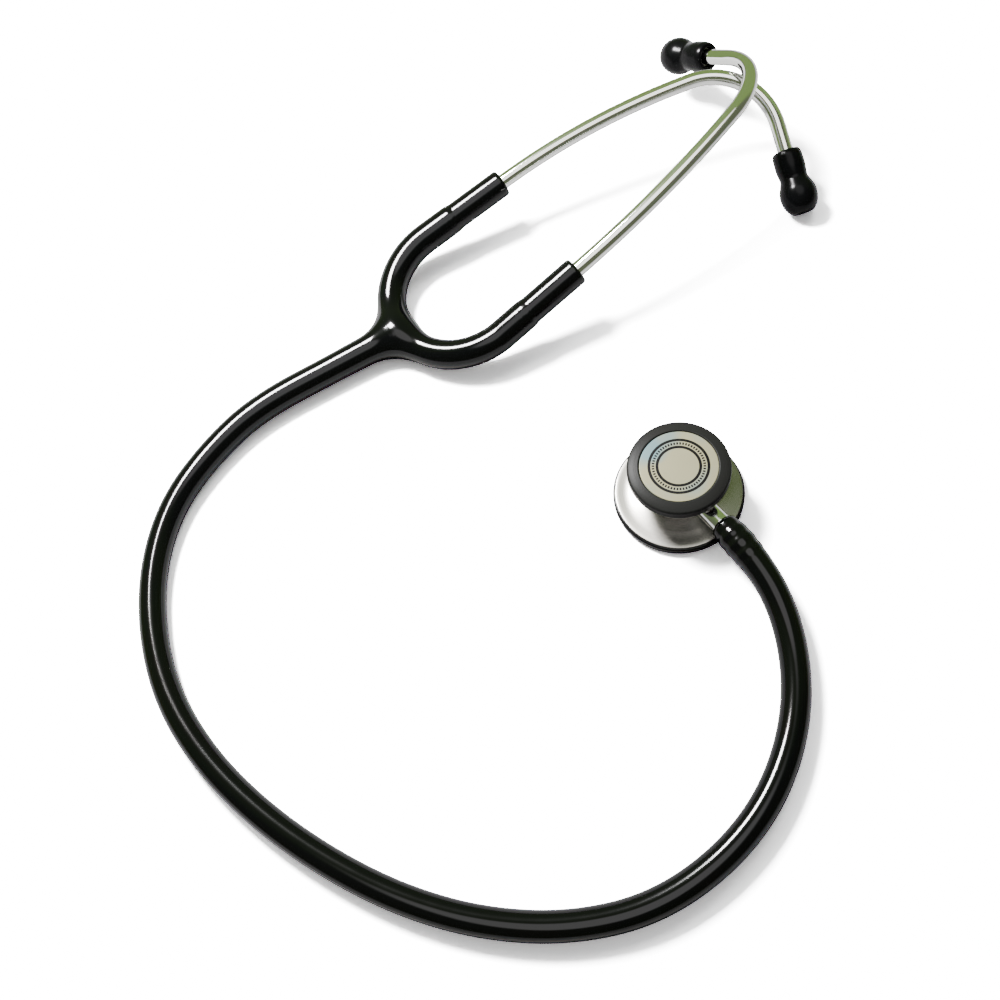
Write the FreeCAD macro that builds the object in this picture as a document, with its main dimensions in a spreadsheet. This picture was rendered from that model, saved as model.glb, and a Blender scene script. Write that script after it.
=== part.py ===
import FreeCAD, Part
import math
import os
import Sketcher
from FreeCAD import Vector, Placement, Rotation

# Stethoscope lying on a flat surface, +Z up, millimetres and degrees. +X runs from the
# hose to the ears along the middle of the headset, +Y is the headset's left. The origin
# is on the surface, under the middle of the headset and the chestpiece together.

DIMENSIONS = {
    # where the middle of the arm ends lies over the surface, and how the headset leans
    "head_x": 2.35,
    "head_y": 50.47,
    "head_height": 19.2,
    "head_pitch": 12.0,
    # yoke
    "yoke_bend_radius": 27.5,
    "yoke_radius": 5.3,
    "yoke_bore_radius": 1.9,
    "arm_length": 37.0,
    "arm_toe_in": 1.5,
    "right_arm_lift": 4.7,
    "socket_depth": 23.0,
    "joint_gap": 0.25,
    "joint_lip": 1.6,
    "tail_length": 43.0,
    "tail_radius": 5.5,
    "tail_yaw": 3.4,
    "tail_drop": 0.6,
    # leaf spring, on the outer side of the bend
    "leaf_thickness": 0.7,
    "leaf_width": 4.0,
    "leaf_offset": 3.0,
    "leaf_sweep": 160.0,
    "leaf_leg_start": 5.0,
    "leaf_leg_length": 8.0,
    # ear tubes
    "tube_radius": 2.9,
    "tube_bore_radius": 2.2,
    "tube_gentle_radius": 283.0,
    "tube_gentle_angle": 16.1,
    "tube_bend_radius": 25.4,
    "tube_bend_angle": 92.3,
    "tube_end_length": 10.4,
    "tube_insert": 7.0,
    "tube_roll": 25.9,
    # eartips and the ferrules inside them
    "tip_length": 24.0,
    "tip_base_radius": 5.6,
    "tip_base_length": 8.0,
    "tip_neck_radius": 5.25,
    "tip_neck_place": 10.6,
    "tip_bulb_radius": 7.0,
    "tip_bulb_place": 17.0,
    "tip_face_radius": 3.6,
    "tip_channel_radius": 1.6,
    "tip_neck_curve": 12.6,
    "tip_face_curve": 8.9,
    "tip_edge": 1.2,
    "tip_clearance": 0.2,
    "ferrule_radius": 3.4,
    "ferrule_start": 0.3,
    "ferrule_length": 9.0,
    # hose
    "hose_radius": 4.75,
    "hose_bore_radius": 2.4,
    "hose_lead": 17.0,
    # stem
    "stem_yaw": -83.7,
    "stem_height": 10.5,
    "stem_radius": 3.5,
    "stem_reach": 21.1,
    "stem_shaft_radius": 2.5,
    "stem_shoulder": 8.4,
    "stem_barb_length": 14.0,
    "stem_barb_radius": 3.1,
    "stem_barb_root": 2.7,
    "stem_bore_radius": 1.4,
    "stem_inner_end": -5.0,
    "ring_place": -3.6,
    "ring_depth": 0.5,
    "ring_width": 0.6,
    "seal_place": 5.6,
    "seal_wire": 0.45,
    "seal_reach": 2.52,
    "ball_place": 3.2,
    "ball_radius": 0.9,
    "detent_radius": 0.95,
    "detent_depth": 3.4,
    # chestpiece
    "chest_x": -17.3,
    "chest_y": -111.9,
    "rim_radius": 22.25,
    "rim_height": 3.1,
    "rim_lip": 0.4,
    "rim_window": 19.6,
    "diaphragm_radius": 20.6,
    "diaphragm_thickness": 0.4,
    "flange_radius": 21.1,
    "neck_radius": 8.0,
    "neck_bottom": 7.0,
    "neck_top": 14.0,
    "large_flare_radius": 28.0,
    "cup_depth": 1.5,
    "throat_radius": 1.5,
    "running_gap": 0.05,
    "bell_flange_radius": 15.2,
    "bell_flange_height": 17.0,
    "bell_flare_radius": 14.0,
    "bell_top": 20.4,
    "bell_rim_radius": 17.1,
    "bell_rim_bottom": 17.3,
    "bell_rim_shoulder": 21.3,
    "bell_rim_top": 22.0,
    "bell_window": 13.0,
    "bell_diaphragm_radius": 13.8,
    "bell_diaphragm_thickness": 0.4,
    "bell_diaphragm_drop": 0.6,
    "support_width": 1.4,
}

# The hose's route from the yoke's tail to the stem: x and y from the same middle point as
# head_x and head_y, and height over the surface. The ends, and the point that carries the
# tail's direction on, are worked out.
HOSE_ROUTE = [
    (-146.0, -2.6, 4.75),
    (-167.0, -13.6, 4.75),
    (-183.0, -31.6, 4.75),
    (-193.6, -54.5, 4.75),
    (-198.6, -79.5, 4.75),
    (-196.4, -105.6, 4.75),
    (-189.2, -130.4, 4.75),
    (-178.2, -154.4, 4.75),
    (-164.4, -176.4, 4.75),
    (-147.0, -195.6, 4.75),
    (-125.6, -210.8, 4.75),
    (-101.4, -219.6, 4.75),
    (-74.8, -219.0, 4.75),
    (-51.0, -210.6, 4.75),
    (-30.4, -194.0, 4.75),
    (-17.0, -172.0, 6.2),
    (-13.1, -150.0, 10.5),
]
ARC_SHARE = 0.45

doc = FreeCAD.newDocument("stethoscope")
sheet = doc.addObject("Spreadsheet::Sheet", "dims")
for row, (alias, number) in enumerate(DIMENSIONS.items(), start=1):
    sheet.set(f"A{row}", alias)
    sheet.set(f"B{row}", str(number))
    sheet.setAlias(f"B{row}", alias)
doc.recompute()


class Size:
    """A length with its value and the sheet expression that gives it."""

    def __init__(self, value, text):
        self.value = value
        self.text = text

    def __add__(self, other):
        other = as_size(other)
        return Size(self.value + other.value, f"({self.text} + {other.text})")

    def __sub__(self, other):
        other = as_size(other)
        return Size(self.value - other.value, f"({self.text} - {other.text})")

    def __mul__(self, factor):
        return Size(self.value * factor, f"({self.text} * {factor})")


def as_size(number):
    return number if isinstance(number, Size) else Size(float(number), str(number))


def dim(alias):
    return Size(float(sheet.get(alias)), f"dims.{alias}")


def mm(alias):
    return float(sheet.get(alias))


parts = {}


def keep(node, shape_object, placement):
    """Name a finished sub-part and put it in its place."""
    shape_object.Label = node
    shape_object.Placement = placement
    parts[node] = shape_object


def bind(shape_object, **sizes):
    for name, size in sizes.items():
        shape_object.setExpression(name, as_size(size).text)


def origin_plane(body, role):
    return next(f for f in body.Origin.OriginFeatures if f.Role == role)


def new_sketch(body, name, role):
    sketch = body.newObject("Sketcher::SketchObject", name)
    sketch.AttachmentSupport = [(origin_plane(body, role), "")]
    sketch.MapMode = "FlatFace"
    return sketch


def arc_between(start, end, radius, bulge):
    """The short arc of a radius from start to end; bulge 1 is left of travel, -1 right."""
    chord = end - start
    half = chord.Length / 2
    rise = math.sqrt(radius * radius - half * half)
    side = Vector(-chord.y, chord.x, 0).normalize()
    centre = (start + end) * 0.5 - side * (rise * bulge)
    middle = centre + side * (radius * bulge)
    return Part.Arc(start, middle, end)


def outline(sketch, corners, arcs=None):
    """Closed outline with every corner bound to the sheet. arcs maps the number of the
    side that leaves a corner to (radius, bulge)."""
    arcs = arcs or {}
    points = [Vector(as_size(x).value, as_size(y).value, 0) for x, y in corners]
    count = len(points)
    for side in range(count):
        start, end = points[side], points[(side + 1) % count]
        if side in arcs:
            radius, bulge = arcs[side]
            sketch.addGeometry(arc_between(start, end, radius.value, bulge))
        else:
            sketch.addGeometry(Part.LineSegment(start, end))
    starts = []
    for side in range(count):
        start_first = sketch.getPoint(side, 1).distanceToPoint(points[side]) < 1e-6
        starts.append(1 if start_first else 2)
    for side in range(count):
        after = (side + 1) % count
        sketch.addConstraint(
            Sketcher.Constraint("Coincident", side, 3 - starts[side], after, starts[after])
        )
    for side in range(count):
        for kind, size in (("DistanceX", corners[side][0]), ("DistanceY", corners[side][1])):
            size = as_size(size)
            number = sketch.addConstraint(
                Sketcher.Constraint(kind, -1, 1, side, starts[side], size.value)
            )
            sketch.setExpression(f"Constraints[{number}]", size.text)
        if side in arcs:
            radius = arcs[side][0]
            number = sketch.addConstraint(Sketcher.Constraint("Radius", side, radius.value))
            sketch.setExpression(f"Constraints[{number}]", radius.text)


def turned(name, corners, arcs=None, sweep=None):
    """A body turned about its own Z axis from an outline of (radius, height) corners."""
    body = doc.addObject("PartDesign::Body", name)
    sketch = new_sketch(body, f"{name}_outline", "XZ_Plane")
    outline(sketch, corners, arcs)
    revolution = body.newObject("PartDesign::Revolution", f"{name}_turn")
    revolution.Profile = sketch
    revolution.ReferenceAxis = (sketch, ["V_Axis"])
    revolution.Angle = 360
    if sweep is not None:
        revolution.Midplane = True
        revolution.setExpression("Angle", sweep.text)
    sketch.Visibility = False
    body.Tip = revolution
    return body


def rod(name, radius, length, placement=Placement()):
    cylinder = doc.addObject("Part::Cylinder", name)
    bind(cylinder, Radius=radius, Height=length)
    cylinder.Placement = placement
    return cylinder


def ball(name, radius, placement=Placement()):
    sphere = doc.addObject("Part::Sphere", name)
    bind(sphere, Radius=radius)
    sphere.Placement = placement
    return sphere


def joined(name, pieces):
    fusion = doc.addObject("Part::MultiFuse", name)
    fusion.Shapes = pieces
    fusion.Refine = True
    return fusion


def less(name, base, tool):
    cut = doc.addObject("Part::Cut", name)
    cut.Base = base
    cut.Tool = tool
    return cut


def at(x=0.0, y=0.0, z=0.0, rotation=Rotation()):
    return Placement(Vector(x, y, z), rotation)


def about(axis, degrees):
    return Rotation(axis, degrees)


X, Y, Z = Vector(1, 0, 0), Vector(0, 1, 0), Vector(0, 0, 1)
Z_TO_X = about(Y, 90)

# ---------------------------------------------------------------- frames of the headset
middle = at(mm("head_x"), mm("head_y"), 0)
head = middle * at(0, 0, mm("head_height"), about(Y, -mm("head_pitch")))
bend_centre = head * at(x=-mm("arm_length"))


def arm_frame(side, lift):
    """Where an arm leaves the bend, with X along the arm. side is 1 left, -1 right."""
    toe = about(Z, -side * mm("arm_toe_in"))
    return bend_centre * at(0, side * mm("yoke_bend_radius"), 0, toe * about(Y, -lift))


SIDES = {"left": (1, 0.0), "right": (-1, mm("right_arm_lift"))}


# ---------------------------------------------------------------- yoke
def half_ring(name, radius):
    """The bend of the U: a half torus round the bend's centre, open to +X."""
    torus = doc.addObject("Part::Torus", name)
    bind(torus, Radius1=dim("yoke_bend_radius"), Radius2=radius)
    torus.Angle3 = 180
    torus.Placement = at(rotation=about(Z, 90))
    return torus


def tail_placement():
    """From the outside of the bend back along the hose, with Z along the tail."""
    start = at(x=-mm("yoke_bend_radius"))
    level = about(Y, mm("head_pitch") - mm("tail_drop"))
    return start * at(rotation=about(Z, -mm("tail_yaw")) * level * about(Y, -90))


def along_tail(distance):
    place = bend_centre * tail_placement()
    return place.multVec(Vector(0, 0, distance))


def make_crotch():
    tail = doc.addObject("Part::Cone", "tail")
    bind(tail, Radius1=dim("tail_radius"), Radius2=dim("hose_radius"), Height=dim("tail_length"))
    tail.Placement = tail_placement()
    knuckles = [
        ball(f"knuckle_{side}", dim("yoke_radius"), at(y=side * mm("yoke_bend_radius")))
        for side in (1, -1)
    ]
    outside = joined("crotch_outside", [half_ring("bend", dim("yoke_radius")), tail] + knuckles)
    tail_bore = rod("tail_bore", dim("yoke_bore_radius"), dim("tail_length"), tail_placement())
    ends = []
    for side in (1, -1):
        place = at(y=side * mm("yoke_bend_radius"), rotation=Z_TO_X)
        ends.append(rod(f"knuckle_bore_{side}", dim("yoke_bore_radius"), dim("yoke_radius"), place))
    bore = joined("crotch_bore", [half_ring("bend_bore", dim("yoke_bore_radius")), tail_bore] + ends)
    slot = leaf_middle("leaf_slot")
    inside = joined("crotch_inside", [bore, slot])
    keep("yoke_crotch", less("crotch", outside, inside), bend_centre)


def leaf_middle(name):
    """The leaf spring's bend, a strip turned round the bend's centre and open to +X."""
    near = dim("yoke_bend_radius") + dim("leaf_offset")
    far = near + dim("leaf_thickness")
    top = dim("leaf_width") * 0.5
    bottom = dim("leaf_width") * -0.5
    strip = turned(name, [(near, bottom), (far, bottom), (far, top), (near, top)],
                   sweep=dim("leaf_sweep"))
    strip.Placement = at(rotation=about(Z, 180))
    return strip


def make_leaf_middle():
    strip = leaf_middle("leaf_bend")
    keep("leaf_spring_bend", strip, bend_centre * strip.Placement)


def leaf_leg(name, side):
    """The leaf spring's straight leg inside an arm, on the arm's outer side."""
    leg = doc.addObject("Part::Box", name)
    bind(leg, Length=dim("leaf_leg_length"), Width=dim("leaf_thickness"), Height=dim("leaf_width"))
    inner = mm("leaf_offset") if side > 0 else -mm("leaf_offset") - mm("leaf_thickness")
    leg.Placement = at(mm("leaf_leg_start"), inner, -mm("leaf_width") / 2)
    return leg


def make_arm(word):
    side, lift = SIDES[word]
    place = arm_frame(side, lift)
    lip = at(x=mm("joint_lip"), rotation=Z_TO_X)
    sleeve = rod(f"{word}_sleeve", dim("yoke_radius"), dim("arm_length") - dim("joint_lip"), lip)
    bore = rod(f"{word}_arm_bore", dim("yoke_bore_radius"), dim("arm_length"), at(rotation=Z_TO_X))
    mouth = at(x=mm("arm_length") - mm("socket_depth"), rotation=Z_TO_X)
    socket = rod(f"{word}_socket", dim("tube_radius"), dim("socket_depth"), mouth)
    seat = ball(f"{word}_seat", dim("yoke_radius") + dim("joint_gap"))
    inside = joined(f"{word}_arm_inside", [bore, socket, seat, leaf_leg(f"{word}_slot", side)])
    keep(f"{word}_yoke_arm", less(f"{word}_arm", sleeve, inside), place)
    leg = leaf_leg(f"{word}_leg", side)
    keep(f"leaf_spring_{word}_leg", leg, place * leg.Placement)


# ---------------------------------------------------------------- ear tubes and eartips
def tube_frame(word):
    """The ear tube's end in its socket: X along the arm, Y towards the other tube."""
    side, lift = SIDES[word]
    place = arm_frame(side, lift) * at(x=mm("arm_length"))
    return place * at(rotation=about(X, side * mm("tube_roll")) * about(X, 90 + side * 90))


def tube_stations():
    """Corners of the tube's centre line in its own plane, and the heading at its end."""
    stations = [Vector(-mm("socket_depth"), 0, 0), Vector(0, 0, 0)]
    heading = 0.0
    for radius, angle in (("tube_gentle_radius", "tube_gentle_angle"),
                          ("tube_bend_radius", "tube_bend_angle")):
        turn = math.radians(mm(angle))
        last = stations[-1]
        centre = last + Vector(-math.sin(heading), math.cos(heading), 0) * mm(radius)
        for share in (0.5, 1.0):
            at_angle = heading + turn * share
            stations.append(centre + Vector(math.sin(at_angle), -math.cos(at_angle), 0) * mm(radius))
        heading += turn
    along = Vector(math.cos(heading), math.sin(heading), 0)
    stations.append(stations[-1] + along * (mm("tube_end_length") + mm("tube_insert")))
    return stations, heading


def tube_path(body, name):
    """Straight, gentle arc, tight arc, straight: all tangent, and bound to the sheet."""
    path = new_sketch(body, name, "XY_Plane")
    stations, _ = tube_stations()
    start, mouth, gentle_middle, gentle_end, bend_middle, bend_end, tip = stations
    path.addGeometry(Part.LineSegment(start, mouth))
    path.addGeometry(Part.Arc(mouth, gentle_middle, gentle_end))
    path.addGeometry(Part.Arc(gentle_end, bend_middle, bend_end))
    path.addGeometry(Part.LineSegment(bend_end, tip))
    path.addConstraint(Sketcher.Constraint("Coincident", 0, 2, -1, 1))
    path.addConstraint(Sketcher.Constraint("Horizontal", 0))
    path.addConstraint(Sketcher.Constraint("Tangent", 0, 2, 1, 1))
    path.addConstraint(Sketcher.Constraint("Tangent", 1, 2, 2, 1))
    path.addConstraint(Sketcher.Constraint("Tangent", 2, 2, 3, 1))
    sizes = (
        ("Distance", 0, dim("socket_depth")),
        ("Radius", 1, dim("tube_gentle_radius")),
        ("Radius", 2, dim("tube_bend_radius")),
        ("Distance", 3, dim("tube_end_length") + dim("tube_insert")),
    )
    for kind, geometry, size in sizes:
        number = path.addConstraint(Sketcher.Constraint(kind, geometry, size.value))
        path.setExpression(f"Constraints[{number}]", size.text)
    for geometry, alias in ((1, "tube_gentle_angle"), (2, "tube_bend_angle")):
        angle = math.radians(mm(alias))
        number = path.addConstraint(Sketcher.Constraint("Angle", geometry, angle))
        path.setExpression(f"Constraints[{number}]", f"dims.{alias} * 1 deg")
    return path


def make_ear_tube(word):
    body = doc.addObject("PartDesign::Body", f"{word}_tube")
    path = tube_path(body, f"{word}_tube_path")
    section = new_sketch(body, f"{word}_tube_section", "YZ_Plane")
    for number, alias in enumerate(("tube_radius", "tube_bore_radius")):
        section.addGeometry(Part.Circle(Vector(0, 0, 0), Z, mm(alias)))
        section.addConstraint(Sketcher.Constraint("Coincident", number, 3, -1, 1))
        bound = section.addConstraint(Sketcher.Constraint("Radius", number, mm(alias)))
        section.setExpression(f"Constraints[{bound}]", f"dims.{alias}")
    section.AttachmentOffset = at(z=-mm("socket_depth"))
    pipe = body.newObject("PartDesign::AdditivePipe", f"{word}_tube_pipe")
    pipe.Profile = section
    pipe.Spine = (path, ["Edge1", "Edge2", "Edge3", "Edge4"])
    body.Tip = pipe
    keep(f"{word}_ear_tube", body, tube_frame(word))


def tip_frame(word):
    """The eartip's base face: Z along the tube's end, out of the tube."""
    stations, heading = tube_stations()
    along = Vector(math.cos(heading), math.sin(heading), 0)
    base = stations[-1] - along * mm("tube_insert")
    return tube_frame(word) * Placement(base, about(Z, math.degrees(heading)) * Z_TO_X)


def make_eartip(word):
    edge, clear = dim("tip_edge"), dim("tip_clearance")
    base, neck, bulb = dim("tip_base_radius"), dim("tip_neck_radius"), dim("tip_bulb_radius")
    face, channel, length = dim("tip_face_radius"), dim("tip_channel_radius"), dim("tip_length")
    socket = dim("ferrule_radius") + clear
    ferrule_end = dim("ferrule_start") + dim("ferrule_length")
    corners = [
        (socket, 0),
        (base - edge, 0),
        (base, edge),
        (base, dim("tip_base_length")),
        (neck, dim("tip_neck_place")),
        (bulb, dim("tip_bulb_place")),
        (face, length),
        (channel, length),
        (channel, ferrule_end + clear),
        (socket, ferrule_end + clear),
    ]
    arcs = {1: (edge, -1), 4: (dim("tip_neck_curve"), -1), 5: (dim("tip_face_curve"), -1)}
    tip = turned(f"{word}_tip", corners, arcs)
    keep(f"{word}_eartip", tip, tip_frame(word))
    ferrule = turned(f"{word}_ferrule_body", [
        (dim("tube_radius"), dim("ferrule_start")),
        (dim("ferrule_radius"), dim("ferrule_start")),
        (dim("ferrule_radius"), ferrule_end - edge),
        (dim("ferrule_radius") - clear, ferrule_end),
        (dim("tube_radius"), ferrule_end),
    ])
    keep(f"{word}_ferrule", ferrule, tip_frame(word))


# ---------------------------------------------------------------- chestpiece
chest = middle * at(mm("chest_x"), mm("chest_y"), 0, about(Z, mm("stem_yaw")))
stem = chest * at(z=mm("stem_height"), rotation=Z_TO_X)


def make_chest_body():
    flange, window = dim("flange_radius"), dim("rim_window")
    cup_edge = dim("rim_lip") + dim("diaphragm_thickness") + 0.6
    throat = dim("throat_radius")
    bell_top, bell = dim("bell_top"), dim("bell_flange_radius")
    corners = [
        (0, dim("stem_height") - dim("stem_shaft_radius") - 1.0),
        (throat, dim("stem_height") - dim("stem_shaft_radius") - 1.0),
        (throat, cup_edge + dim("cup_depth")),
        (window - 1.0, cup_edge),
        (flange, cup_edge),
        (flange, dim("rim_height") + 0.4),
        (dim("neck_radius"), dim("neck_bottom")),
        (dim("neck_radius"), dim("neck_top")),
        (bell, dim("bell_flange_height")),
        (bell, bell_top),
        (dim("bell_window") - 1.0, bell_top),
        (throat, bell_top - 3.0),
        (0, bell_top - 3.0),
    ]
    arcs = {5: (dim("large_flare_radius"), 1), 7: (dim("bell_flare_radius"), 1)}
    turning = turned("chest_turning", corners, arcs)
    gap = dim("running_gap")
    bore_start = at(x=mm("stem_inner_end") - 1, z=mm("stem_height"), rotation=Z_TO_X)
    bore = rod("stem_bore", dim("stem_shaft_radius") + gap,
               dim("neck_radius") - dim("stem_inner_end") + 3, bore_start)
    groove_start = at(x=mm("ring_place") - mm("running_gap"), z=mm("stem_height"), rotation=Z_TO_X)
    groove = rod("ring_groove", dim("stem_shaft_radius") + dim("ring_depth") + gap,
                 dim("ring_width") + gap * 2, groove_start)
    throat_drop = at(z=mm("rim_lip") + mm("cup_depth"))
    drilling = rod("throat_drilling", throat, dim("stem_height") - 1, throat_drop)
    pocket = rod("detent_pocket", dim("detent_radius"), dim("detent_depth"),
                 at(x=mm("ball_place"), z=mm("stem_height") + mm("stem_shaft_radius") - 0.3))
    inside = joined("chest_inside", [bore, groove, drilling, pocket])
    keep("chestpiece_body", less("chest_cut", turning, inside), chest)


def make_rims():
    flange = dim("flange_radius")
    rim = turned("large_rim_turning", [
        (dim("rim_window"), 0),
        (dim("rim_radius") - 0.6, 0),
        (dim("rim_radius"), 0.6),
        (dim("rim_radius"), dim("rim_height") - 0.5),
        (dim("rim_radius") - 0.5, dim("rim_height")),
        (flange, dim("rim_height")),
        (flange, dim("rim_lip")),
        (dim("rim_window"), dim("rim_lip")),
    ])
    keep("large_rim", rim, chest)
    disc = turned("large_diaphragm_turning", [
        (0, dim("rim_lip")),
        (dim("diaphragm_radius"), dim("rim_lip")),
        (dim("diaphragm_radius"), dim("rim_lip") + dim("diaphragm_thickness")),
        (0, dim("rim_lip") + dim("diaphragm_thickness")),
    ])
    keep("large_diaphragm", disc, chest)
    top, shoulder = dim("bell_rim_top"), dim("bell_rim_shoulder")
    face = top - dim("bell_diaphragm_drop")
    small_rim = turned("small_rim_turning", [
        (dim("bell_flange_radius"), dim("bell_rim_bottom")),
        (dim("bell_rim_radius"), dim("bell_rim_bottom")),
        (dim("bell_rim_radius"), shoulder),
        (dim("bell_window") + 0.4, top),
        (dim("bell_window"), top),
        (dim("bell_window"), face),
        (dim("bell_flange_radius"), face),
    ])
    keep("small_rim", small_rim, chest)
    small_disc = turned("small_diaphragm_turning", [
        (0, face - dim("bell_diaphragm_thickness")),
        (dim("bell_diaphragm_radius"), face - dim("bell_diaphragm_thickness")),
        (dim("bell_diaphragm_radius"), face),
        (0, face),
    ])
    keep("small_diaphragm", small_disc, chest)
    inner = dim("bell_flange_radius") - dim("support_width")
    support = turned("support_turning", [
        (inner, dim("bell_top")),
        (dim("bell_flange_radius"), dim("bell_top")),
        (dim("bell_flange_radius"), face),
        (inner, face),
    ])
    keep("small_support_ring", support, chest)


def make_stem():
    shaft, bore = dim("stem_shaft_radius"), dim("stem_bore_radius")
    ring_low = dim("ring_place")
    ring_high = ring_low + dim("ring_width")
    seal_low = dim("seal_place") - dim("seal_wire")
    seal_high = dim("seal_place") + dim("seal_wire")
    groove = dim("seal_reach") - dim("seal_wire") * 2
    reach = dim("stem_reach")
    root, barb = dim("stem_barb_root"), dim("stem_barb_radius")
    step = dim("stem_barb_length") * 0.3
    turning = turned("stem_turning", [
        (bore, dim("stem_inner_end")),
        (shaft, dim("stem_inner_end")),
        (shaft, ring_low),
        (shaft - dim("ring_depth"), ring_low),
        (shaft - dim("ring_depth"), ring_high),
        (shaft, ring_high),
        (shaft, seal_low),
        (groove, seal_low),
        (groove, seal_high),
        (shaft, seal_high),
        (shaft, dim("stem_shoulder")),
        (dim("stem_radius"), dim("stem_shoulder")),
        (dim("stem_radius"), reach),
        (root, reach),
        (root, reach + step),
        (barb, reach + step),
        (root, reach + step * 2),
        (barb, reach + step * 2),
        (root, reach + dim("stem_barb_length")),
        (bore, reach + dim("stem_barb_length")),
    ])
    throat = rod("stem_throat", dim("throat_radius"), dim("stem_radius") * 2,
                 at(x=-mm("stem_radius"), rotation=Z_TO_X))
    dimple = ball("stem_dimple", dim("ball_radius"),
                  at(x=-mm("stem_shaft_radius") - 0.4, z=mm("ball_place")))
    keep("stem", less("stem_cut", turning, joined("stem_holes", [throat, dimple])), stem)
    snap = turned("snap_turning", [
        (shaft - dim("ring_depth"), ring_low),
        (shaft + dim("ring_depth"), ring_low),
        (shaft + dim("ring_depth"), ring_high),
        (shaft - dim("ring_depth"), ring_high),
    ])
    keep("stem_snap_ring", snap, stem)
    seal = doc.addObject("Part::Torus", "seal_ring")
    bind(seal, Radius1=dim("seal_reach") - dim("seal_wire"), Radius2=dim("seal_wire"))
    keep("stem_o_ring", seal, stem * at(z=mm("seal_place")))


def make_detent():
    # the ball is at the height where it rolls on the shaft, just over the stem's dimple
    centre = mm("stem_shaft_radius") + mm("ball_radius")
    place = chest * at(x=mm("ball_place"), z=mm("stem_height") + centre)
    keep("detent_ball", ball("detent", dim("ball_radius") - 0.03), place)
    length = dim("detent_depth") - 0.3 - dim("ball_radius") * 2
    wire = turned("detent_coil", [
        (dim("detent_radius") - 0.45, 0),
        (dim("detent_radius") - 0.05, 0),
        (dim("detent_radius") - 0.05, length),
        (dim("detent_radius") - 0.45, length),
    ])
    keep("detent_spring", wire, place * at(z=mm("ball_radius")))


# ---------------------------------------------------------------- hose
def rounded_path(points):
    """Straight runs joined by tangent arcs as large as the runs allow."""
    edges = []
    radii = []
    here = points[0]
    for before, corner, after in zip(points, points[1:], points[2:]):
        back, ahead = before - corner, after - corner
        half_turn = (math.pi - back.getAngle(ahead)) / 2
        reach = ARC_SHARE * min(back.Length, ahead.Length)
        radius = reach / math.tan(half_turn)
        radii.append(radius)
        back.normalize()
        ahead.normalize()
        arc_start, arc_end = corner + back * reach, corner + ahead * reach
        inward = (back + ahead).normalize()
        apex = corner + inward * (radius / math.cos(half_turn) - radius)
        edges.append(Part.LineSegment(here, arc_start).toShape())
        edges.append(Part.Arc(arc_start, apex, arc_end).toShape())
        here = arc_end
    edges.append(Part.LineSegment(here, points[-1]).toShape())
    return Part.Wire(edges), radii


def make_hose():
    middle_point = middle.Base
    tail_length = mm("tail_length")
    points = [along_tail(tail_length), along_tail(tail_length + mm("hose_lead"))]
    points += [middle_point + Vector(*point) for point in HOSE_ROUTE]
    points.append(stem.multVec(Vector(0, 0, mm("stem_reach"))))
    path, radii = rounded_path(points)
    start, heading = points[0], points[1] - points[0]
    outside, bore = [
        path.makePipeShell([Part.Wire(Part.Circle(start, heading, radius).toShape())], True, True)
        for radius in (mm("hose_radius"), mm("hose_bore_radius"))
    ]
    tube = outside.cut(bore)
    feature = doc.addObject("Part::Feature", "hose_tube")
    feature.Shape = tube
    keep("hose", feature, Placement())
    area = math.pi * (mm("hose_radius") ** 2 - mm("hose_bore_radius") ** 2)
    print(f"hose length {path.Length:.1f} mm, radii", " ".join(f"{r:.0f}" for r in radii))
    print(f"hose volume {tube.Volume:.0f} against {area * path.Length:.0f}")
    runs = [(b - a).Length for a, b in zip(points, points[1:])]
    print("hose runs", " ".join(f"{run:.0f}" for run in runs))


make_crotch()
make_leaf_middle()
for word in SIDES:
    make_arm(word)
    make_ear_tube(word)
    make_eartip(word)
make_hose()
make_stem()
make_chest_body()
make_rims()
make_detent()
doc.recompute()

for item in doc.Objects:
    if "Invalid" in item.State or "Error" in item.State:
        raise RuntimeError(f"{item.Label} failed: {item.State}")

os.makedirs("parts", exist_ok=True)
box = FreeCAD.BoundBox()
for node, item in parts.items():
    shape = item.Shape
    if shape.isNull() or not shape.isValid():
        raise RuntimeError(f"{node} has no valid shape")
    if node != "hose":
        box.add(shape.BoundBox)
    shape.exportStep(f"parts/{node}.step")
    print(f"{node}: {shape.Volume:.1f} mm3, {len(shape.Solids)} solid")
print("box without the hose", box)
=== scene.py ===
import math

import bpy
import numpy as np
from mathutils import Matrix, Vector


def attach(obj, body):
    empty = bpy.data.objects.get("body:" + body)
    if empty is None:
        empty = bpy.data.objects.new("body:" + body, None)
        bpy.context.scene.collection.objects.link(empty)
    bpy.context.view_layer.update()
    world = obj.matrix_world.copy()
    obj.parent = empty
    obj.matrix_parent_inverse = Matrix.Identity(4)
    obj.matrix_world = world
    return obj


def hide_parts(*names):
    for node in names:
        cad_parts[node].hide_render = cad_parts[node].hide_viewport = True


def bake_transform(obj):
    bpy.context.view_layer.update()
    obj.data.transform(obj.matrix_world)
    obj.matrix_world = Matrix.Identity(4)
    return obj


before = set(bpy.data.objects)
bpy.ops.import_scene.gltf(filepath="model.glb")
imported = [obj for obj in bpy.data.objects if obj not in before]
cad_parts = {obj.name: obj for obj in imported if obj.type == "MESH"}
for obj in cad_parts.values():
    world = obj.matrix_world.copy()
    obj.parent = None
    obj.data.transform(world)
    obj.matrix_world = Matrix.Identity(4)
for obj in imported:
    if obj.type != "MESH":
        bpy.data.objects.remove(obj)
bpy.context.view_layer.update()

# Looks for the stethoscope. Lengths below are millimetres and are scaled to metres where
# a mesh is made, apart from the lamps' and the voxels', which are metres. The headset,
# chestpiece and stem frames are the ones the CAD part uses.
MM = 0.001

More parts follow.
